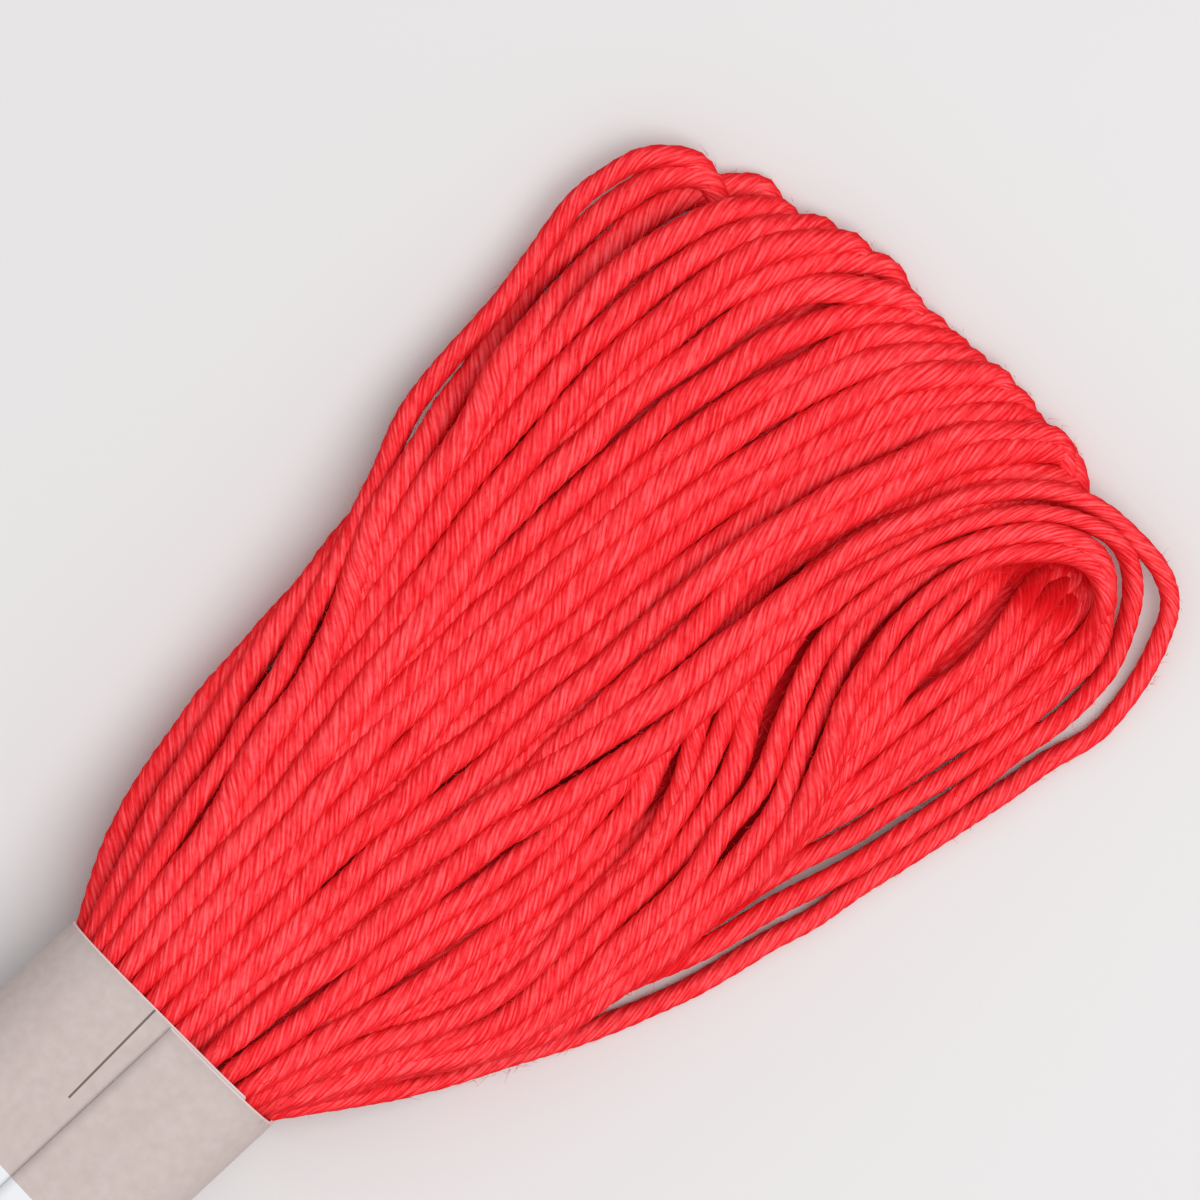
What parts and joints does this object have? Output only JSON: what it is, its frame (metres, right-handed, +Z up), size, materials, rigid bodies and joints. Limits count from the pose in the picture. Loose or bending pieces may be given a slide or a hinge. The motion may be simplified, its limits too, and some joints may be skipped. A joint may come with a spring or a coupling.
{
  "type": "skein of sashiko thread",
  "caption": "Flat skein of red multi-ply cotton thread, fanned out at its loops and held round the middle by a lapped paper band.",
  "frame": {"origin": "middle of the paper band's flat underside, on the surface that the skein lies on", "axes": "+Z up, +X along the skein to its wider loop, +Y across it to the side where the upper threads spread"},
  "size_m": [0.1069, 0.0253, 0.0066],
  "materials": {
    "thread": "soft matte twisted cotton",
    "paper": "matte uncoated paper"
  },
  "bodies": {
    "root": {"skein": "thread", "band": "paper"}
  },
  "joints": []
}
